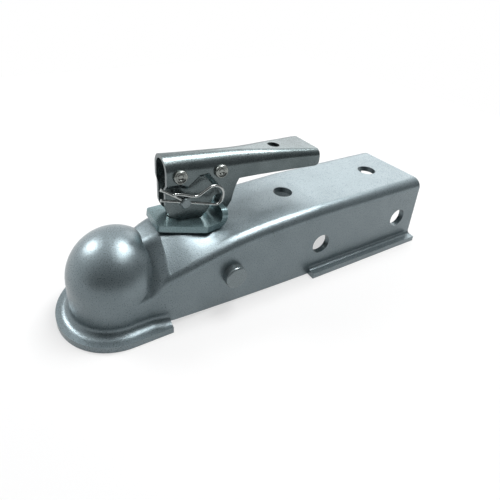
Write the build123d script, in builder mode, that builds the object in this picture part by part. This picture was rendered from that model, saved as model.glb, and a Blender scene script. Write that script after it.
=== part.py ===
"""Straight-tongue trailer ball coupler with a folded lever latch, in millimetres.

The origin is the centre of the ball socket. +X runs back along the channel, +Z is up.
The coupler rests on its front flange and on the two lips along the rear of the channel.
"""

import os
from math import atan2, cos, pi, radians, sin, tan

from build123d import *

# Driving sizes of the pressed body
SHEET = 4.0
BALL_D = 47.625
BALL_CLEARANCE = 0.4
BALL_HEIGHT = 26.0
BODY_HEIGHT = 52.0
BODY_WIDTH = 61.0
REAR_X = 230.0
BEND_R = 7.0
FLANGE_END_X = 23.5
FLANGE_FILLET = 5.0
LIP_START_X = 127.5
LIP_WIDTH = 5.8
LIP_FILLET = 2.5
TRIM_RISE = 3.4
SIDE_HOLE_D = 14.3
SIDE_HOLE_X = (135.7, 211.7)
SIDE_HOLE_Z = -2.8
TOP_HOLE_D = 13.5
TOP_HOLE_X = (121.8, 203.6)

# Seat of the latch on the neck
PLATE_T = 4.0
SEAT_SLOPE = 9.0
SEAT_X = 25.2
SEAT_Z = 28.0

# Latch: base plate, lever, draw bolt, trigger
PLATE_FRONT_HALF = 10.7
PLATE_WIDE_HALF = 18.3
PLATE_WIDE_AT = 28.5
PLATE_LENGTH = 42.3
KEEPER_HALF = 16.2
KEEPER_H = 13.0
KEEPER_CORNER = 5.0
KEEPER_BEND = 4.0
PIN_X = 41.0
PIN_Z = 45.3
PIN_D = 6.35
PIN_HEAD_D = 9.5
PIN_HEAD_T = 2.2
PIN_END_Y = -15.0
CLIP_Y = -12.95
CLIP_WIRE = 1.8
CLIP_SLOPE = radians(18.0)
BOLT_D = 8.0
BOLT_HOLE_D = 9.2
EYE_R = 7.5
EYE_T = 8.4
LEVER_T = 2.5
LEVER_FRONT_X = 31.2
LEVER_REAR_X = 137.0
LEVER_FRONT_Z = 71.9
LEVER_REAR_Z = 62.0
LEVER_HALF = 9.4
GRIP_HALF = 15.1
GRIP_BOTTOM_Z = 51.0
EAR_HALF = 7.0
GRIP_CORNER = 3.0
GRIP_HOLE_X = 109.6
GRIP_HOLE_D = 8.0
CAM_GAP = 0.3
CAM_TAIL_R = 21.8
RIVET_D = 5.0
RIVET_HEAD_D = 8.6
RIVET_HEAD_T = 2.2
FRONT_RIVET = (39.4, 60.6)
REAR_RIVET = (65.6, 59.0)
TRIGGER_T = 2.0
TRIGGER_HALF = 5.2
TRIGGER_BOSS_R = 4.4
RUN_FIT = 0.05
HOLE_FIT = 0.1
FACE_GAP = 0.3

# Jaw under the ball
JAW_PIN_X = 65.5
JAW_PIN_Z = -2.2
JAW_PIN_D = 12.0
JAW_HEAD_D = 14.6
JAW_HEAD_T = 5.25
JAW_HALF = 14.0
JAW_BOSS_R = 10.0
JAW_TOP = 38.5
WASHER_D = 18.0
WASHER_T = 1.6
NUT_AF = 13.0
NUT_T = 6.8
JAW_SEAT = 59.0
JAW_SEAT_R = 20.0
SPRING_WIRE = 1.6
SPRING_R = 6.4

# Worked out from the driving sizes
SOCKET_R = BALL_D / 2 + BALL_CLEARANCE
DOME_R = SOCKET_R + SHEET
BOTTOM = -BALL_HEIGHT
TOP = BODY_HEIGHT - BALL_HEIGHT
HALF_W = BODY_WIDTH / 2
EDGE_HALF = HALF_W + LIP_WIDTH
SLOPE = radians(SEAT_SLOPE)


def seat_z(x):
    """Height of the sloping seat under the base plate."""
    return SEAT_Z - tan(SLOPE) * (x - SEAT_X)


# Neck sections: half width, wall corner, ridge half width, ridge height
# First where the sheet climbs out of the dome, then along the neck, each run evenly spaced along X
FRONT_X = 14.0
FRONT_STEP = 4.0
FRONT = (
    (HALF_W - 2.5, -3.0, 8.8, 21.2),
    (HALF_W - 1.6, 0.8, 9.0, 22.9),
    (HALF_W - 0.6, 6.2, 9.4, 24.5),
    (HALF_W, 7.9, 9.6, 25.8),
)
NECK_X = FRONT_X + FRONT_STEP * (len(FRONT) - 1)
NECK_STEP = 12.0
NECK = (
    (HALF_W, 7.9, 9.6, 25.8),
    (HALF_W, 11.2, 10.1, seat_z(38.0) + 0.1),
    (HALF_W, 14.9, 10.7, seat_z(50.0) + 0.1),
    (HALF_W, 19.0, 11.5, seat_z(62.0) + 0.1),
    (HALF_W, 22.0, 12.5, 22.6),
    (HALF_W, 23.1, 13.3, 24.0),
    (HALF_W, 23.6, 13.8, 25.1),
    (HALF_W, 24.2, 14.3, 25.7),
    (HALF_W, 25.0, 14.8, 25.95),
    (HALF_W, TOP, 16.0, TOP),
)
# Sides of the dome where they run into the neck walls
CHEEK_START = (2.0, DOME_R - 0.3, -5.0, 8.8, 16.0)
RIDGE_BEND = 3.5
CHANNEL_X = NECK_X + NECK_STEP * (len(NECK) - 1)


def section_points(half, corner, ridge_half, ridge, inset):
    """Corner points of one neck section, moved inwards by the sheet thickness."""
    rise = atan2(ridge - corner, half - ridge_half)
    wall_turn = pi / 2 - rise
    wall = (half - inset, corner - inset * tan(wall_turn / 2))
    top = (ridge_half - inset * tan(rise / 2), ridge - inset)
    return wall, top, rise, wall_turn


def neck_face(station, inset, floor):
    """One closed section across the neck: walls, rounded bends, shoulders and ridge."""
    x, half, corner, ridge_half, ridge = station
    wall, top, rise, wall_turn = section_points(half, corner, ridge_half, ridge, inset)
    cut = (BEND_R - inset) * tan(wall_turn / 2)
    slope = (-cos(rise), sin(rise))
    a = (wall[0], wall[1] - cut)
    b = (wall[0] + slope[0] * cut, wall[1] + slope[1] * cut)
    sag = (BEND_R - inset) * (1 / cos(wall_turn / 2) - 1)
    half_turn = wall_turn / 2
    m = (wall[0] - sag * cos(half_turn), wall[1] - sag * sin(half_turn))
    c = (top[0] - slope[0] * RIDGE_BEND, top[1] - slope[1] * RIDGE_BEND)
    d = (top[0] - RIDGE_BEND, top[1])
    with BuildSketch(Plane.YZ.offset(x)) as face:
        with BuildLine():
            Line((-wall[0], floor), (wall[0], floor))
            Line((wall[0], floor), a)
            ThreePointArc(a, m, b)
            Line(b, c)
            Bezier(c, top, d)
            Line(d, (-d[0], d[1]))
            Bezier((-d[0], d[1]), (-top[0], top[1]), (-c[0], c[1]))
            Line((-c[0], c[1]), (-b[0], b[1]))
            ThreePointArc((-b[0], b[1]), (-m[0], m[1]), (-a[0], a[1]))
            Line((-a[0], a[1]), (-wall[0], floor))
        make_face()
    return face.sketch


front_stations = [(FRONT_X + FRONT_STEP * i, *sizes) for i, sizes in enumerate(FRONT)]
neck_stations = [(NECK_X + NECK_STEP * i, *sizes) for i, sizes in enumerate(NECK)]
outer_front = [neck_face(station, 0.0, BOTTOM) for station in front_stations]
inner_front = [neck_face(station, SHEET, BOTTOM - 1) for station in front_stations]
outer_neck = [neck_face(station, 0.0, BOTTOM) for station in neck_stations]
inner_neck = [neck_face(station, SHEET, BOTTOM - 1) for station in neck_stations]

MOUTH_R = SHEET + FLANGE_FILLET
LATCH = Plane(origin=(PIN_X, 0, PIN_Z), x_dir=(cos(SLOPE), 0, -sin(SLOPE)), z_dir=(0, -1, 0))
SEAT = Plane(origin=(SEAT_X, 0, SEAT_Z), x_dir=(cos(SLOPE), 0, -sin(SLOPE)), z_dir=(sin(SLOPE), 0, cos(SLOPE)))
KEEPER = Plane(origin=SEAT.from_local_coords((PLATE_LENGTH, 0, 0)), x_dir=(0, 1, 0), z_dir=SEAT.x_dir)


def latch_xz(u, v):
    """A point given along and above the base plate, from the pin, as X and Z."""
    return (PIN_X + u * cos(SLOPE) + v * sin(SLOPE), PIN_Z - u * sin(SLOPE) + v * cos(SLOPE))


PIN_RISE = (PIN_X - SEAT_X) * sin(SLOPE) + (PIN_Z - SEAT_Z) * cos(SLOPE)
BOLT_U = (PIN_X - SEAT_X) * cos(SLOPE) - (PIN_Z - SEAT_Z) * sin(SLOPE)
BEND_START = PLATE_LENGTH - PLATE_T - KEEPER_BEND
CAM_CLOSED = PIN_RISE - PLATE_T - CAM_GAP
CAM_OPEN = PIN_X - LEVER_FRONT_X
CAM_SWEEP = pi / 2 - SLOPE
CAM_RATE = (CAM_CLOSED - CAM_OPEN) / CAM_SWEEP


def cam_point(angle):
    """The cam's outline, so shaped that the pin sinks evenly as the lever turns."""
    reach = CAM_CLOSED - CAM_RATE * angle
    return (-reach * sin(angle) + CAM_RATE * cos(angle), -reach * cos(angle) - CAM_RATE * sin(angle))


# Pressed body: one folded and drawn sheet
with BuildPart() as coupler_body:
    with BuildSketch(Plane.XZ):
        with BuildLine():
            Line((0, BOTTOM), (DOME_R, BOTTOM))
            Line((DOME_R, BOTTOM), (DOME_R, 0))
            RadiusArc((DOME_R, 0), (0, DOME_R), -DOME_R)
            Line((0, DOME_R), (0, BOTTOM))
        make_face()
    revolve(axis=Axis.Z)
    loft([neck_face(CHEEK_START, 0.0, BOTTOM), outer_front[0]], ruled=True)
    loft(outer_front)
    loft(outer_neck)
    extrude(outer_neck[-1], amount=REAR_X - CHANNEL_X, dir=(1, 0, 0))
    with BuildSketch(Plane.XY.offset(BOTTOM)):
        Circle(EDGE_HALF)
        with Locations((FLANGE_END_X / 2, 0)):
            Rectangle(FLANGE_END_X, 2 * EDGE_HALF)
    extrude(amount=SHEET)
    with BuildSketch(Plane.YZ.offset(LIP_START_X)):
        with Locations((0, BOTTOM + SHEET / 2)):
            Rectangle(2 * EDGE_HALF, SHEET)
    extrude(amount=REAR_X - LIP_START_X)
    # Bends where the walls turn out into the flange and the lips
    rims = coupler_body.edges().filter_by(lambda e: abs((e @ 0.5).Z - BOTTOM - SHEET) < 0.01)
    rims = rims.filter_by(lambda e: abs((e @ 0.5).Z - (e @ 0.0).Z) < 0.01 and abs((e @ 0.5).Y) < HALF_W + 0.1)
    fillet(rims.filter_by(lambda e: -DOME_R - 0.1 < (e @ 0.5).X < FLANGE_END_X), FLANGE_FILLET)
    fillet(rims.filter_by(lambda e: (e @ 0.5).X > LIP_START_X), LIP_FILLET)
    # Bottom edge of the walls between flange and lips, trimmed in a shallow curve
    with BuildSketch(Plane.XZ):
        with BuildLine():
            trim_start = (FLANGE_END_X, BOTTOM + TRIM_RISE)
            trim_middle = (FLANGE_END_X + (LIP_START_X - FLANGE_END_X) * 0.4, BOTTOM + TRIM_RISE * 0.45)
            trim_end = (LIP_START_X, BOTTOM + 0.1)
            ThreePointArc(trim_start, trim_middle, trim_end)
            Polyline(trim_end, (LIP_START_X, BOTTOM - 1), (FLANGE_END_X, BOTTOM - 1), trim_start)
        make_face()
    extrude(amount=BODY_WIDTH, both=True, mode=Mode.SUBTRACT)
    # Inside: socket with a flared mouth, neck hollow, channel hollow
    with BuildSketch(Plane.XZ):
        with BuildLine():
            Line((0, BOTTOM - 1), (SOCKET_R + MOUTH_R, BOTTOM - 1))
            Line((SOCKET_R + MOUTH_R, BOTTOM - 1), (SOCKET_R + MOUTH_R, BOTTOM))
            RadiusArc((SOCKET_R + MOUTH_R, BOTTOM), (SOCKET_R, BOTTOM + MOUTH_R), MOUTH_R)
            Line((SOCKET_R, BOTTOM + MOUTH_R), (SOCKET_R, 0))
            RadiusArc((SOCKET_R, 0), (0, SOCKET_R), -SOCKET_R)
            Line((0, SOCKET_R), (0, BOTTOM - 1))
        make_face()
    revolve(axis=Axis.Z, mode=Mode.SUBTRACT)
    loft([neck_face(CHEEK_START, SHEET, BOTTOM - 1), inner_front[0]], ruled=True, mode=Mode.SUBTRACT)
    loft(inner_front, mode=Mode.SUBTRACT)
    loft(inner_neck, mode=Mode.SUBTRACT)
    extrude(inner_neck[-1], amount=REAR_X - CHANNEL_X, dir=(1, 0, 0), mode=Mode.SUBTRACT)
    # Flat seat for the base plate, and the hole for the draw bolt
    with BuildSketch(SEAT):
        with Locations((BEND_START / 2 - SHEET, 0)):
            Rectangle(BEND_START + 2 * SHEET, BODY_WIDTH)
    extrude(amount=SHEET, mode=Mode.SUBTRACT)
    with BuildSketch(SEAT):
        with Locations((BOLT_U, 0)):
            Circle(BOLT_HOLE_D / 2)
    extrude(amount=-4 * SHEET, mode=Mode.SUBTRACT)
    # Bolt holes of the channel and the jaw pin's holes
    with BuildSketch(Plane.XZ):
        with Locations([(x, SIDE_HOLE_Z) for x in SIDE_HOLE_X]):
            Circle(SIDE_HOLE_D / 2)
        with Locations((JAW_PIN_X, JAW_PIN_Z)):
            Circle(JAW_PIN_D / 2 + HOLE_FIT)
    extrude(amount=BODY_WIDTH, both=True, mode=Mode.SUBTRACT)
    with BuildSketch(Plane.XY.offset(TOP - 2 * SHEET)):
        with Locations([(x, 0) for x in TOP_HOLE_X]):
            Circle(TOP_HOLE_D / 2)
    extrude(amount=3 * SHEET, mode=Mode.SUBTRACT)

# Base plate with its upturned keeper
with BuildPart() as base_plate:
    with BuildSketch(SEAT) as plate_outline:
        Polygon(
            (-0.8, -PLATE_FRONT_HALF),
            (PLATE_WIDE_AT, -PLATE_WIDE_HALF),
            (BEND_START, -KEEPER_HALF),
            (PLATE_LENGTH, -KEEPER_HALF),
            (PLATE_LENGTH, KEEPER_HALF),
            (BEND_START, KEEPER_HALF),
            (PLATE_WIDE_AT, PLATE_WIDE_HALF),
            (-0.8, PLATE_FRONT_HALF),
            align=None,
        )
        fillet(plate_outline.vertices().filter_by(lambda v: v.X < PLATE_WIDE_AT + 0.1), 2.5)
    extrude(amount=PLATE_T)
    with BuildSketch(KEEPER):
        with Locations((0, KEEPER_H / 2)):
            Rectangle(2 * KEEPER_HALF, KEEPER_H)
    extrude(amount=-PLATE_T)
    with BuildSketch(SEAT):
        with Locations((BOLT_U, 0)):
            Circle(BOLT_HOLE_D / 2)
    extrude(amount=PLATE_T, mode=Mode.SUBTRACT)
    along = base_plate.edges().filter_by(lambda e: abs(e.tangent_at(0.5).dot(SEAT.x_dir)) > 0.99)
    fillet(along.filter_by(lambda e: SEAT.to_local_coords(e.center()).Z > PLATE_T + 1), KEEPER_CORNER)
    across = base_plate.edges().filter_by(Axis.Y)
    inner_fold = Vector(PLATE_LENGTH - PLATE_T, 0, PLATE_T)
    outer_fold = Vector(PLATE_LENGTH, 0, 0)
    fillet(across.filter_by(lambda e: (SEAT.to_local_coords(e.center()) - inner_fold).length < 0.1), KEEPER_BEND)
    across = base_plate.edges().filter_by(Axis.Y)
    folds = across.filter_by(lambda e: (SEAT.to_local_coords(e.center()) - outer_fold).length < 0.1)
    fillet(folds, KEEPER_BEND + PLATE_T)


# Lever: a folded channel, round and narrow in front, flat and wide at the grip
def lever_top(x):
    """Height of the lever's back above the socket centre."""
    return LEVER_FRONT_Z + (LEVER_REAR_Z - LEVER_FRONT_Z) * (x - LEVER_FRONT_X) / (LEVER_REAR_X - LEVER_FRONT_X)


def lever_face(x, half, bend, inset, floor):
    """One closed section across the lever, square to X."""
    h = half - inset
    top = lever_top(x) - inset
    r = bend - inset
    with BuildSketch(Plane.YZ.offset(x)) as face:
        with BuildLine():
            Line((-h, floor), (h, floor))
            Line((h, floor), (h, top - r))
            RadiusArc((h, top - r), (h - r, top), -r)
            Line((h - r, top), (-h + r, top))
            RadiusArc((-h + r, top), (-h, top - r), -r)
            Line((-h, top - r), (-h, floor))
        make_face()
    return face.sketch


LEVER_STEP = 13.75
LEVER_STATIONS = (
    (LEVER_HALF, 9.2),
    (LEVER_HALF, 9.2),
    (LEVER_HALF, 9.2),
    (LEVER_HALF, 9.2),
    (9.6, 8.6),
    (10.7, 7.4),
    (12.2, 6.2),
    (13.7, 5.3),
    (GRIP_HALF + 0.1, 4.6),
)
lever_x = [28.0 + LEVER_STEP * i for i in range(len(LEVER_STATIONS))]
lever_outer = [lever_face(x, *sizes, 0.0, 0.0) for x, sizes in zip(lever_x, LEVER_STATIONS)]
lever_inner = [lever_face(x, *sizes, LEVER_T, -1.0) for x, sizes in zip(lever_x, LEVER_STATIONS)]
EAR_OUTLINE = ((24.0, 53.4), (39.2, 52.6), (45.0, 50.0), (53.0, 56.4), (56.5, 56.4), (62.5, 48.0), (64.0, 20.0), (24.0, 20.0))


def ear_recess(offset_y, depth, inset):
    """The joggled ears beside the eye: their field, raised outwards from one plane."""
    with BuildPart() as recess:
        for side in (-1, 1):
            with BuildSketch(Plane.XZ.offset(side * offset_y)):
                with BuildLine():
                    Polyline(*EAR_OUTLINE, close=True)
                make_face()
                if inset:
                    offset(amount=inset)
            extrude(amount=side * depth, taper=-48)
    return recess.part


ear_dent = ear_recess(EAR_HALF, 6, 0)
ear_core = ear_recess(EAR_HALF - LEVER_T, 6, -1.0)
with BuildPart() as lever_hollow:
    loft(lever_inner)
    add(ear_core, mode=Mode.SUBTRACT)

with BuildPart() as lever:
    loft(lever_outer)
    add(ear_dent, mode=Mode.SUBTRACT)
    add(lever_hollow.part, mode=Mode.SUBTRACT)
    cam_points = [latch_xz(*cam_point(CAM_SWEEP * i / 8)) for i in range(9)]
    tail_angle = atan2(-CAM_CLOSED, (CAM_TAIL_R**2 - CAM_CLOSED**2) ** 0.5)
    tail = [(CAM_TAIL_R * cos(a), CAM_TAIL_R * sin(a)) for a in (tail_angle, tail_angle / 2 - 0.1, -0.2)]
    tail = [latch_xz(*point) for point in tail]
    with BuildSketch(Plane.XZ):
        with BuildLine():
            Line((LEVER_FRONT_X, cam_points[-1][1]), (LEVER_FRONT_X, 80))
            Spline(*cam_points)
            Line(cam_points[0], tail[0])
            ThreePointArc(*tail)
            Spline(tail[2], (72.0, 47.0), (80.0, GRIP_BOTTOM_Z), tangents=((0.15, 1), (1, 0)))
            Line((80.0, GRIP_BOTTOM_Z), (LEVER_REAR_X - GRIP_CORNER, GRIP_BOTTOM_Z))
            grip_corner = ((LEVER_REAR_X - GRIP_CORNER, GRIP_BOTTOM_Z), (LEVER_REAR_X, GRIP_BOTTOM_Z + GRIP_CORNER))
            RadiusArc(*grip_corner, -GRIP_CORNER)
            Line((LEVER_REAR_X, GRIP_BOTTOM_Z + GRIP_CORNER), (LEVER_REAR_X, 80))
            Line((LEVER_REAR_X, 80), (LEVER_FRONT_X, 80))
        make_face()
    extrude(amount=BODY_WIDTH, both=True, mode=Mode.INTERSECT)
    with BuildSketch(Plane.XZ):
        with Locations((PIN_X, PIN_Z)):
            Circle(PIN_D / 2 + RUN_FIT)
        with Locations(FRONT_RIVET, REAR_RIVET):
            Circle(RIVET_D / 2 + HOLE_FIT)
    extrude(amount=BODY_WIDTH, both=True, mode=Mode.SUBTRACT)
    with BuildSketch(Plane.XY.offset(GRIP_BOTTOM_Z)):
        with Locations((GRIP_HOLE_X, 0)):
            Circle(GRIP_HOLE_D / 2)
    extrude(amount=40, mode=Mode.SUBTRACT)

# Draw bolt: forged eye on a threaded shank, with washer and lock nut under the jaw
SHANK_END = JAW_SEAT + FACE_GAP + WASHER_T + NUT_T + 1.8
with BuildPart() as draw_bolt:
    with BuildSketch(LATCH):
        Circle(EYE_R)
    extrude(amount=EYE_T / 2, both=True)
    fillet(draw_bolt.edges().filter_by(GeomType.CIRCLE), 1.2)
    with BuildSketch(Plane(origin=LATCH.origin, x_dir=LATCH.x_dir, z_dir=(-sin(SLOPE), 0, -cos(SLOPE)))):
        Circle(BOLT_D / 2)
    extrude(amount=SHANK_END)
    with BuildSketch(LATCH):
        Circle(PIN_D / 2 + RUN_FIT)
    extrude(amount=EYE_T, both=True, mode=Mode.SUBTRACT)

DOWN = (-sin(SLOPE), 0, -cos(SLOPE))


def below_pin(distance):
    """A plane square to the draw bolt, facing down its shank."""
    x, z = latch_xz(0, -distance)
    return Plane(origin=(x, 0, z), x_dir=LATCH.x_dir, z_dir=DOWN)


with BuildPart() as draw_washer:
    with BuildSketch(below_pin(JAW_SEAT + FACE_GAP)):
        Circle(WASHER_D / 2)
        Circle(BOLT_D / 2 + HOLE_FIT, mode=Mode.SUBTRACT)
    extrude(amount=WASHER_T)

with BuildPart() as draw_nut:
    with BuildSketch(below_pin(JAW_SEAT + FACE_GAP + WASHER_T)):
        RegularPolygon(NUT_AF / 2, 6, major_radius=False, rotation=30)
        Circle(BOLT_D / 2 + HOLE_FIT, mode=Mode.SUBTRACT)
    extrude(amount=NUT_T)

# Pin through ears and eye, with its spring clip
with BuildPart() as lever_pin:
    with BuildSketch(LATCH):
        Circle(PIN_D / 2)
    extrude(amount=-PIN_END_Y)
    with BuildSketch(LATCH):
        Circle(PIN_D / 2)
    extrude(amount=-(EAR_HALF + FACE_GAP + PIN_HEAD_T))
    with BuildSketch(LATCH.offset(-(EAR_HALF + FACE_GAP))):
        Circle(PIN_HEAD_D / 2)
    extrude(amount=-PIN_HEAD_T)
    chamfer(lever_pin.edges().filter_by(GeomType.CIRCLE).sort_by(Axis.Y)[0], 0.6)
    with BuildSketch(Plane(origin=(PIN_X, CLIP_Y, PIN_Z), z_dir=(cos(CLIP_SLOPE), 0, -sin(CLIP_SLOPE)))):
        Circle(CLIP_WIRE / 2 + HOLE_FIT)
    extrude(amount=PIN_D, both=True, mode=Mode.SUBTRACT)


def clip_xz(along, above):
    """A point of the clip, measured from the pin along its straight leg."""
    x = PIN_X + along * cos(CLIP_SLOPE) + above * sin(CLIP_SLOPE)
    return (x, PIN_Z - along * sin(CLIP_SLOPE) + above * cos(CLIP_SLOPE))


CLIP_RISE = PIN_D / 2 + CLIP_WIRE / 2 + FACE_GAP
with BuildPart() as hairpin_clip:
    with BuildLine(Plane.XZ) as clip_line:
        Line(clip_xz(-15.5, 0), clip_xz(20.5, 0))
        Spline(
            clip_xz(20.5, 0),
            clip_xz(24.4, 4.2),
            clip_xz(21.2, 10.8),
            clip_xz(15.7, 12.0),
            clip_xz(11.6, 9.2),
            clip_xz(6.4, 4.4),
            clip_xz(0.0, CLIP_RISE),
            clip_xz(-8.0, 3.6),
            clip_xz(-17.5, 6.4),
            tangents=((cos(CLIP_SLOPE), -sin(CLIP_SLOPE)), (-cos(CLIP_SLOPE), 0.7)),
        )
    clip_path = Pos(0, CLIP_Y, 0) * clip_line.line
    with BuildSketch(Plane(origin=clip_path @ 0, z_dir=clip_path % 0)):
        Circle(CLIP_WIRE / 2)
    sweep(path=clip_path)

# Cross rivets of the lever
def cross_rivet(place, half):
    """A tubular rivet through both lever walls, headed outside them."""
    with BuildPart() as rivet:
        with BuildSketch(Plane.XZ):
            with Locations(place):
                Circle(RIVET_D / 2)
        extrude(amount=half + RIVET_HEAD_T, both=True)
        for side in (-1, 1):
            with BuildSketch(Plane.XZ.offset(side * half)):
                with Locations(place):
                    Circle(RIVET_HEAD_D / 2)
            extrude(amount=side * RIVET_HEAD_T)
        rims = rivet.edges().filter_by(GeomType.CIRCLE).filter_by(lambda e: e.radius > RIVET_D / 2 + 0.1)
        fillet(rims.filter_by(lambda e: abs(e.center().Y) > half + 0.1), 1.2)
        for side in (-1, 1):
            with BuildSketch(Plane.XZ.offset(side * (half + RIVET_HEAD_T))):
                with Locations(place):
                    Circle(RIVET_D / 2 - 1)
            extrude(amount=-side * 2.0, mode=Mode.SUBTRACT)
    return rivet


front_rivet = cross_rivet(FRONT_RIVET, LEVER_HALF + FACE_GAP)
rear_rivet = cross_rivet(REAR_RIVET, LEVER_HALF + FACE_GAP)

with BuildPart() as rivet_sleeve:
    with BuildSketch(Plane.XZ):
        with Locations(FRONT_RIVET):
            Circle(RIVET_D / 2 + 1.5)
            Circle(RIVET_D / 2 + HOLE_FIT, mode=Mode.SUBTRACT)
    extrude(amount=LEVER_HALF - LEVER_T - 2 * FACE_GAP, both=True)

# Trigger: a folded tab inside the grip, with two cheeks that drop behind the keeper
with BuildPart() as trigger:
    with BuildSketch(Plane.XZ):
        with BuildLine():
            Polyline(
                (66.5, 63.2),
                (69.5, 62.4),
                (112.0, 54.4),
                (112.0, GRIP_BOTTOM_Z + 0.2),
                (83.0, GRIP_BOTTOM_Z + 0.2),
                (79.6, 44.3),
                (77.8, 39.0),
                (76.6, 33.0),
                (73.6, 28.8),
                (70.6, 28.0),
                (69.9, 30.0),
                (69.9, 36.0),
                (68.6, 50.0),
                (62.0, 56.6),
                close=True,
            )
        make_face()
        with Locations(REAR_RIVET):
            Circle(TRIGGER_BOSS_R)
    extrude(amount=TRIGGER_HALF, both=True)
    with BuildSketch(Plane.XZ):
        with BuildLine():
            Polyline((50, 20), (50, 80), (130, 80), (130, GRIP_BOTTOM_Z + 0.2 + TRIGGER_T),
                     (82.0, GRIP_BOTTOM_Z + 0.2 + TRIGGER_T), (79.0, 50.0), (79.0, 20), close=True)
        make_face()
    extrude(amount=TRIGGER_HALF - TRIGGER_T, both=True, mode=Mode.SUBTRACT)
    with BuildSketch(Plane.XZ):
        with Locations(REAR_RIVET):
            Circle(RIVET_D / 2 + RUN_FIT)
    extrude(amount=BODY_WIDTH, both=True, mode=Mode.SUBTRACT)

# Trigger return spring round the rear rivet
TORSION_WIRE = 1.0
TORSION_R = 3.4
with BuildPart() as trigger_spring:
    with BuildLine() as torsion_path:
        Helix(pitch=1.3, height=3.9, radius=TORSION_R, center=(REAR_RIVET[0], -1.95, REAR_RIVET[1]), direction=(0, 1, 0))
    with BuildSketch(Plane(origin=torsion_path.line @ 0, z_dir=torsion_path.line % 0)):
        Circle(TORSION_WIRE / 2)
    sweep(path=torsion_path.line, is_frenet=True)

# Jaw that closes under the back of the ball
with BuildPart() as under_jaw:
    with BuildSketch(Plane.XZ):
        with BuildLine():
            Polyline(
                (14.0, -22.5),
                (14.0, 0.0),
                latch_xz(-8.0, -JAW_TOP),
                latch_xz(10.0, -JAW_TOP),
                (60.0, JAW_PIN_Z + JAW_BOSS_R),
                (JAW_PIN_X, JAW_PIN_Z + JAW_BOSS_R),
                (JAW_PIN_X, JAW_PIN_Z - JAW_BOSS_R),
                latch_xz(11.0, -JAW_SEAT + 3.0),
                latch_xz(11.0, -JAW_SEAT),
                latch_xz(-11.0, -JAW_SEAT),
                latch_xz(-12.0, -JAW_SEAT - 9.5),
                close=True,
            )
        make_face()
    extrude(amount=JAW_HALF, both=True)
    with BuildSketch(Plane.XZ):
        with Locations((JAW_PIN_X, JAW_PIN_Z)):
            Circle(JAW_BOSS_R)
    extrude(amount=HALF_W - SHEET - 0.6, both=True)
    Sphere(SOCKET_R, mode=Mode.SUBTRACT)
    # Rounded underside where the washer bears, and the slot for the draw bolt
    with BuildSketch(LATCH):
        with BuildLine():
            Line((-13, -JAW_SEAT - 4), (13, -JAW_SEAT - 4))
            Line((13, -JAW_SEAT - 4), (13, -JAW_SEAT + JAW_SEAT_R - (JAW_SEAT_R**2 - 13**2) ** 0.5))
            ThreePointArc(
                (13, -JAW_SEAT + JAW_SEAT_R - (JAW_SEAT_R**2 - 13**2) ** 0.5),
                (0, -JAW_SEAT),
                (-10.5, -JAW_SEAT + JAW_SEAT_R - (JAW_SEAT_R**2 - 10.5**2) ** 0.5),
            )
            Line((-10.5, -JAW_SEAT + JAW_SEAT_R - (JAW_SEAT_R**2 - 10.5**2) ** 0.5), (-13, -JAW_SEAT - 4))
        make_face()
    extrude(amount=JAW_HALF, both=True, mode=Mode.SUBTRACT)
    with BuildSketch(LATCH):
        with BuildLine():
            Polyline((-5.2, -34), (-7.9, -66), (5.0, -66), (6.0, -34), close=True)
        make_face()
    extrude(amount=BOLT_D / 2 + 0.6, both=True, mode=Mode.SUBTRACT)
    with BuildSketch(Plane.XZ):
        with Locations((JAW_PIN_X, JAW_PIN_Z)):
            Circle(JAW_PIN_D / 2 + RUN_FIT)
    extrude(amount=BODY_WIDTH, both=True, mode=Mode.SUBTRACT)

with BuildPart() as jaw_pin:
    with BuildSketch(Plane.XZ):
        with Locations((JAW_PIN_X, JAW_PIN_Z)):
            Circle(JAW_PIN_D / 2)
    extrude(amount=HALF_W + JAW_HEAD_T, both=True)
    for side in (-1, 1):
        with BuildSketch(Plane.XZ.offset(side * (HALF_W + 0.05))):
            with Locations((JAW_PIN_X, JAW_PIN_Z)):
                Circle(JAW_HEAD_D / 2)
        extrude(amount=side * (JAW_HEAD_T - 0.05))
    ends = jaw_pin.edges().filter_by(GeomType.CIRCLE).filter_by(lambda e: abs(e.center().Y) > HALF_W + 1)
    fillet(ends, 1.3)

# Jaw return spring round the draw bolt, between neck and jaw
SPRING_TOP = PIN_RISE + SHEET + SPRING_WIRE / 2 + 6 * FACE_GAP
SPRING_LOW = JAW_TOP - SPRING_WIRE / 2 - FACE_GAP
with BuildPart() as jaw_spring:
    with BuildLine() as spring_path:
        Helix(
            pitch=(SPRING_LOW - SPRING_TOP) / 3.5,
            height=SPRING_LOW - SPRING_TOP,
            radius=SPRING_R,
            center=below_pin(SPRING_TOP).origin,
            direction=DOWN,
        )
    with BuildSketch(Plane(origin=spring_path.line @ 0, z_dir=spring_path.line % 0)):
        Circle(SPRING_WIRE / 2)
    sweep(path=spring_path.line, is_frenet=True)

pieces = {
    "coupler_body": coupler_body,
    "base_plate": base_plate,
    "lever": lever,
    "draw_bolt": draw_bolt,
    "draw_washer": draw_washer,
    "draw_nut": draw_nut,
    "lever_pin": lever_pin,
    "hairpin_clip": hairpin_clip,
    "front_rivet": front_rivet,
    "rear_rivet": rear_rivet,
    "rivet_sleeve": rivet_sleeve,
    "trigger": trigger,
    "trigger_spring": trigger_spring,
    "under_jaw": under_jaw,
    "jaw_pin": jaw_pin,
    "jaw_spring": jaw_spring,
}
os.makedirs("parts", exist_ok=True)
for name, piece in pieces.items():
    piece.part.label = name
    export_step(piece.part, f"parts/{name}.step")
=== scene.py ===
"""Looks for a straight-tongue trailer ball coupler, in metres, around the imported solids."""

import math

import bmesh
import bpy
from mathutils import Matrix, Vector


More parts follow.
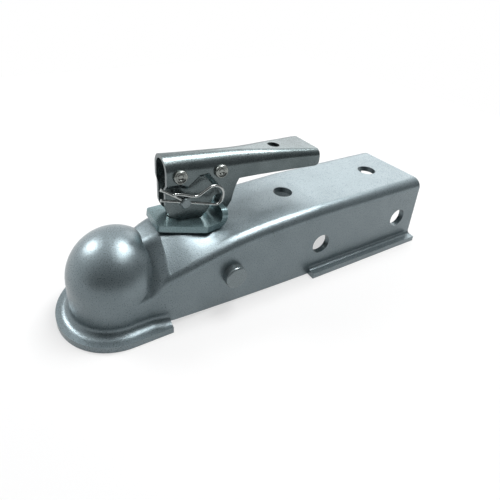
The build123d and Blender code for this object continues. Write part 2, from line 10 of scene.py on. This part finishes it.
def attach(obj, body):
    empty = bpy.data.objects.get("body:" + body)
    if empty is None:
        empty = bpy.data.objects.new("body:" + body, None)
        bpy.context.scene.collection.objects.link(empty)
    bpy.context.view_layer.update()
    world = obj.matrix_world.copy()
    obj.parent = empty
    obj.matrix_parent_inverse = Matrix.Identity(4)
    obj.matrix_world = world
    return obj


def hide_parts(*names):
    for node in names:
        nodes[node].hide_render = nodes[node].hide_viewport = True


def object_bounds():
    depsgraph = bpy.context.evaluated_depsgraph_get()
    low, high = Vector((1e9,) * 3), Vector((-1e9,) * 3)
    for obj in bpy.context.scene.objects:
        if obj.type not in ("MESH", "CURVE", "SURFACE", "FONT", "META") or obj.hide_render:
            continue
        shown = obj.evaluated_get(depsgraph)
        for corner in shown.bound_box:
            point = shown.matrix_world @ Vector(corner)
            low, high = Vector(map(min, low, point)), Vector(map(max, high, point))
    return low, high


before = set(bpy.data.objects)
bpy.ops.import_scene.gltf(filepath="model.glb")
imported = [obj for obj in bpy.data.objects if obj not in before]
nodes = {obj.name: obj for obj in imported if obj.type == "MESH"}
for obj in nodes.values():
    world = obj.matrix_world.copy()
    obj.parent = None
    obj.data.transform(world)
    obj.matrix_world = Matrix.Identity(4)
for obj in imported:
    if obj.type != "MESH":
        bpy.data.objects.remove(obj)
cad_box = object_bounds()

# Camera, fitted to the photograph; angles in degrees, azimuth 0 looks along +Y and 90 along +X
CAMERA_PLACE = (-0.039582, -0.196315, 0.168668)
CAMERA_AZIMUTH = 28.607
CAMERA_ELEVATION = 25.008
CAMERA_ROLL = 2.019
CAMERA_NEAR = 0.01
IMAGE_SIZE = 500
FOCAL_PIXELS = 404.856
PRINCIPAL_POINT = (216.48, 155.769)
SENSOR = 36.0

# Floor: a white glow that is weaker near the coupler, where the lamps add to it
FLOOR_Z = cad_box[0][2]
FLOOR_SIZE = 0.62
FLOOR_GREY = 0.28
FLOOR_GLOW = (0.62, 1.0)
FLOOR_FADE = (0.18, 0.50)

# World: a white backdrop behind the coupler and a dim, cool room in front of it
ROOM_COLOUR = (0.90, 0.96, 1.0)
ROOM_LEVEL = 0.08
BACKDROP_EDGE = (-0.5, 0.3)

LIGHT_TARGET = (0.09, 0.0, 0.0)

# Plated steel: noise values between these two spread over the whole range of tone and gloss
NOISE_RANGE = (0.3, 0.7)
PATCH_SCALE = 60.0
PATCH_DETAIL = 4.0
PATCH_ROUGHNESS = 0.6
GRAIN_DETAIL = 2.0
GRAIN_ROUGHNESS = 0.5

# One end of a tubular rivet with a dished head, as radius and distance from the middle, in millimetres
RIVET_PROFILE = (
    (0.0, 10.5), (1.2, 10.5), (1.5, 10.7), (1.8, 11.4), (2.1, 11.5), (2.4, 11.1), (2.7, 11.1),
    (3.05, 11.75), (3.4, 11.9), (3.8, 11.75), (4.15, 11.25), (4.3, 10.6), (4.3, 9.75), (4.25, 9.7), (2.5, 9.7),
)
RIVET_TURNS = 48
MILLIMETRES = 1000
MERGE_DISTANCE = 1e-7

# Where each rivet's axis stands, as x and z
RIVET_PLACES = {"front_rivet": (0.0394, 0.0606), "rear_rivet": (0.0656, 0.0590)}


def direction(azimuth, elevation):
    """The unit vector towards an azimuth and an elevation in degrees; azimuth 0 is +Y and 90 is +X."""
    a, e = math.radians(azimuth), math.radians(elevation)
    return Vector((math.sin(a) * math.cos(e), math.cos(a) * math.cos(e), math.sin(e)))


def make_camera():
    back = direction(CAMERA_AZIMUTH + 180, CAMERA_ELEVATION)
    right = Vector((0, 0, 1)).cross(back).normalized()
    up = back.cross(right)
    roll = math.radians(CAMERA_ROLL)
    tilted_right = right * math.cos(roll) + up * math.sin(roll)
    tilted_up = up * math.cos(roll) - right * math.sin(roll)
    data = bpy.data.cameras.new("camera")
    data.sensor_width = SENSOR
    data.lens = FOCAL_PIXELS / IMAGE_SIZE * SENSOR
    data.shift_x = 0.5 - PRINCIPAL_POINT[0] / IMAGE_SIZE
    data.shift_y = PRINCIPAL_POINT[1] / IMAGE_SIZE - 0.5
    data.clip_start = CAMERA_NEAR
    camera = bpy.data.objects.new("camera", data)
    axes = Matrix((tilted_right, tilted_up, back)).transposed()
    camera.matrix_world = Matrix.Translation(CAMERA_PLACE) @ axes.to_4x4()
    bpy.context.scene.collection.objects.link(camera)
    bpy.context.scene.camera = camera


def combine(tree, operation, first, second):
    """One maths node on two outputs."""
    node = tree.nodes.new("ShaderNodeMath")
    node.operation = operation
    tree.links.new(first, node.inputs[0])
    tree.links.new(second, node.inputs[1])
    return node.outputs[0]


def remap(tree, value, source, target, smooth=False):
    """A value moved from one range to another, with soft ends where smooth."""
    node = tree.nodes.new("ShaderNodeMapRange")
    if smooth:
        node.interpolation_type = "SMOOTHSTEP"
    node.inputs["From Min"].default_value, node.inputs["From Max"].default_value = source
    node.inputs["To Min"].default_value, node.inputs["To Max"].default_value = target
    tree.links.new(value, node.inputs["Value"])
    return node.outputs["Result"]


def noise(tree, scale, detail, roughness):
    """Noise in the object's own coordinates."""
    node = tree.nodes.new("ShaderNodeTexNoise")
    node.inputs["Scale"].default_value = scale
    node.inputs["Detail"].default_value = detail
    node.inputs["Roughness"].default_value = roughness
    place = tree.nodes.new("ShaderNodeTexCoord")
    tree.links.new(place.outputs["Object"], node.inputs["Vector"])
    return node.outputs["Fac"]


def two_tones(tree, value, dark, light):
    """The colour between dark and light that a noise value picks."""
    node = tree.nodes.new("ShaderNodeValToRGB")
    tree.links.new(value, node.inputs["Fac"])
    for stop, place, colour in zip(node.color_ramp.elements, NOISE_RANGE, (dark, light)):
        stop.position = place
        stop.color = (*colour, 1.0)
    return node.outputs["Color"]


def bump(tree, height, distance):
    node = tree.nodes.new("ShaderNodeBump")
    node.inputs["Distance"].default_value = distance
    node.inputs["Strength"].default_value = 1.0
    tree.links.new(height, node.inputs["Height"])
    return node.outputs["Normal"]


def plated(name, dark, light, roughness, metallic=1.0, grain=9000.0, depth=0.00002, speckle=0.0):
    """Plated steel: soft patches of tone, a fine grain in gloss and surface, and a share of it in tone."""
    material = bpy.data.materials.new(name)
    material.use_nodes = True
    tree = material.node_tree
    surface = tree.nodes["Principled BSDF"].inputs
    surface["Metallic"].default_value = metallic
    patch = noise(tree, PATCH_SCALE, PATCH_DETAIL, PATCH_ROUGHNESS)
    fine = noise(tree, grain, GRAIN_DETAIL, GRAIN_ROUGHNESS)
    tone = tree.nodes.new("ShaderNodeMix")
    tone.inputs["Factor"].default_value = speckle
    tree.links.new(patch, tone.inputs["A"])
    tree.links.new(fine, tone.inputs["B"])
    tree.links.new(two_tones(tree, tone.outputs["Result"], dark, light), surface["Base Color"])
    tree.links.new(remap(tree, fine, NOISE_RANGE, roughness), surface["Roughness"])
    tree.links.new(bump(tree, fine, depth), surface["Normal"])
    return material


def make_rivet(node, material):
    """The rivet turned about its own axis, in the envelope of the solid that it stands for."""
    x, z = RIVET_PLACES[node]
    half = [(radius / MILLIMETRES, along / MILLIMETRES) for radius, along in RIVET_PROFILE]
    profile = half + [(radius, -along) for radius, along in reversed(half)]
    count = len(profile)
    vertices, faces = [], []
    for turn in range(RIVET_TURNS):
        angle = 2 * math.pi * turn / RIVET_TURNS
        for radius, along in profile:
            vertices.append((x + radius * math.cos(angle), along, z + radius * math.sin(angle)))
        here = turn * count
        following = (turn + 1) % RIVET_TURNS * count
        for i in range(count - 1):
            faces.append((here + i, here + i + 1, following + i + 1, following + i))
    mesh = bpy.data.meshes.new(node + "_dished")
    mesh.from_pydata(vertices, [], faces)
    mesh.validate()
    work = bmesh.new()
    work.from_mesh(mesh)
    bmesh.ops.remove_doubles(work, verts=work.verts, dist=MERGE_DISTANCE)
    bmesh.ops.recalc_face_normals(work, faces=work.faces)
    work.to_mesh(mesh)
    work.free()
    for face in mesh.polygons:
        face.use_smooth = True
    mesh.materials.append(material)
    rivet = bpy.data.objects.new(node + "_dished", mesh)
    bpy.context.scene.collection.objects.link(rivet)
    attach(rivet, "lever")
    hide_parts(node)


def give(material, *names):
    for name in names:
        for slot in nodes[name].material_slots:
            slot.material = material


def make_materials():
    body = plated("body_finish", dark=(0.150, 0.190, 0.207), light=(0.235, 0.285, 0.305),
                  roughness=(0.25, 0.36), metallic=0.60, grain=1900.0, depth=0.0001, speckle=0.6)
    latch = plated("latch_zinc", dark=(0.088, 0.112, 0.116), light=(0.142, 0.172, 0.177),
                   roughness=(0.23, 0.33), metallic=0.75, grain=2500.0)
    plate = plated("plate_zinc", dark=(0.170, 0.255, 0.270), light=(0.228, 0.322, 0.338),
                   roughness=(0.22, 0.32), metallic=0.5, grain=2500.0)
    rivet = plated("rivet_steel", dark=(0.20, 0.215, 0.205), light=(0.28, 0.30, 0.285),
                   roughness=(0.20, 0.28), metallic=0.85)
    pin = plated("pin_steel", dark=(0.165, 0.20, 0.21), light=(0.23, 0.27, 0.28),
                 roughness=(0.24, 0.32), metallic=0.7)
    wire = plated("spring_steel", dark=(0.33, 0.355, 0.35), light=(0.42, 0.44, 0.435), roughness=(0.16, 0.26))
    bolt = plated("bolt_zinc", dark=(0.30, 0.33, 0.33), light=(0.38, 0.41, 0.40), roughness=(0.22, 0.34))
    jaw = plated("jaw_steel", dark=(0.18, 0.20, 0.21), light=(0.24, 0.26, 0.27), roughness=(0.34, 0.46))
    give(body, "coupler_body")
    give(plate, "base_plate")
    give(latch, "lever", "trigger")
    give(rivet, "rivet_sleeve")
    for node in RIVET_PLACES:
        make_rivet(node, rivet)
    give(pin, "jaw_pin", "lever_pin")
    give(wire, "hairpin_clip", "trigger_spring", "jaw_spring")
    give(bolt, "draw_bolt", "draw_washer", "draw_nut")
    give(jaw, "under_jaw")


def background_rays(tree):
    """The light path, and 1 for the rays that show the white background: camera, glossy and transmission."""
    path = tree.nodes.new("ShaderNodeLightPath")
    shown = path.outputs["Is Camera Ray"]
    for name in ("Is Glossy Ray", "Is Transmission Ray"):
        shown = combine(tree, "MAXIMUM", shown, path.outputs[name])
    return path, shown


def floor_material():
    """Grey to the lamps, so that it takes the shadow, with a white glow that grows outward."""
    material = bpy.data.materials.new("floor_white")
    material.use_nodes = True
    tree = material.node_tree
    tree.nodes.clear()
    shown = background_rays(tree)[1]
    place = tree.nodes.new("ShaderNodeTexCoord")
    far = tree.nodes.new("ShaderNodeVectorMath")
    far.operation = "DISTANCE"
    far.inputs[1].default_value = (LIGHT_TARGET[0], LIGHT_TARGET[1], FLOOR_Z)
    tree.links.new(place.outputs["Object"], far.inputs[0])
    fade = remap(tree, far.outputs["Value"], FLOOR_FADE, FLOOR_GLOW, smooth=True)
    glow = tree.nodes.new("ShaderNodeEmission")
    tree.links.new(combine(tree, "MULTIPLY", shown, fade), glow.inputs["Strength"])
    diffuse = tree.nodes.new("ShaderNodeBsdfDiffuse")
    diffuse.inputs["Color"].default_value = (FLOOR_GREY, FLOOR_GREY, FLOOR_GREY, 1)
    both = tree.nodes.new("ShaderNodeAddShader")
    tree.links.new(glow.outputs[0], both.inputs[0])
    tree.links.new(diffuse.outputs[0], both.inputs[1])
    output = tree.nodes.new("ShaderNodeOutputMaterial")
    tree.links.new(both.outputs[0], output.inputs["Surface"])
    return material


def make_floor():
    mesh = bpy.data.meshes.new("floor")
    sides = ((-1, -1), (1, -1), (1, 1), (-1, 1))
    corners = [(x * FLOOR_SIZE, y * FLOOR_SIZE, FLOOR_Z) for x, y in sides]
    mesh.from_pydata(corners, [], [(0, 1, 2, 3)])
    mesh.materials.append(floor_material())
    floor = bpy.data.objects.new("floor", mesh)
    bpy.context.scene.collection.objects.link(floor)


def make_world():
    """White for the camera all round; reflections see it behind the coupler and a dim room in front."""
    world = bpy.data.worlds.new("studio")
    bpy.context.scene.world = world
    world.use_nodes = True
    tree = world.node_tree
    tree.nodes.clear()
    path, shown = background_rays(tree)
    backdrop = tree.nodes.new("ShaderNodeBackground")
    backdrop.inputs["Color"].default_value = (1, 1, 1, 1)
    room = tree.nodes.new("ShaderNodeBackground")
    room.inputs["Color"].default_value = (*ROOM_COLOUR, 1)
    room.inputs["Strength"].default_value = ROOM_LEVEL
    place = tree.nodes.new("ShaderNodeTexCoord")
    split = tree.nodes.new("ShaderNodeSeparateXYZ")
    tree.links.new(place.outputs["Generated"], split.inputs[0])
    behind = remap(tree, split.outputs["Y"], BACKDROP_EDGE, (0.0, 1.0), smooth=True)
    white = combine(tree, "MAXIMUM", combine(tree, "MULTIPLY", shown, behind), path.outputs["Is Camera Ray"])
    mix = tree.nodes.new("ShaderNodeMixShader")
    tree.links.new(white, mix.inputs["Fac"])
    tree.links.new(room.outputs[0], mix.inputs[1])
    tree.links.new(backdrop.outputs[0], mix.inputs[2])
    output = tree.nodes.new("ShaderNodeOutputWorld")
    tree.links.new(mix.outputs[0], output.inputs["Surface"])


def soft_light(name, azimuth, elevation, distance, size, brightness):
    """A rectangular lamp that faces the coupler and is hidden from the camera."""
    facing = direction(azimuth, elevation)
    data = bpy.data.lights.new(name, "AREA")
    data.shape = "RECTANGLE"
    data.size, data.size_y = size
    data.energy = brightness * math.pi * size[0] * size[1]
    light = bpy.data.objects.new(name, data)
    turn = facing.to_track_quat("Z", "Y").to_matrix().to_4x4()
    light.matrix_world = Matrix.Translation(Vector(LIGHT_TARGET) + facing * distance) @ turn
    light.visible_camera = False
    bpy.context.scene.collection.objects.link(light)


def make_light():
    make_world()
    soft_light("overhead", azimuth=80, elevation=69, distance=0.75, size=(0.30, 0.30), brightness=22.0)
    soft_light("front_top", azimuth=150, elevation=68, distance=0.75, size=(0.24, 0.24), brightness=8.0)
    soft_light("left", azimuth=-46, elevation=38, distance=0.75, size=(0.22, 0.22), brightness=19.0)
    soft_light("rear", azimuth=50, elevation=27, distance=0.95, size=(0.60, 0.24), brightness=3.0)
    bpy.context.scene.view_settings.view_transform = "Standard"


make_camera()
make_floor()
make_light()
make_materials()
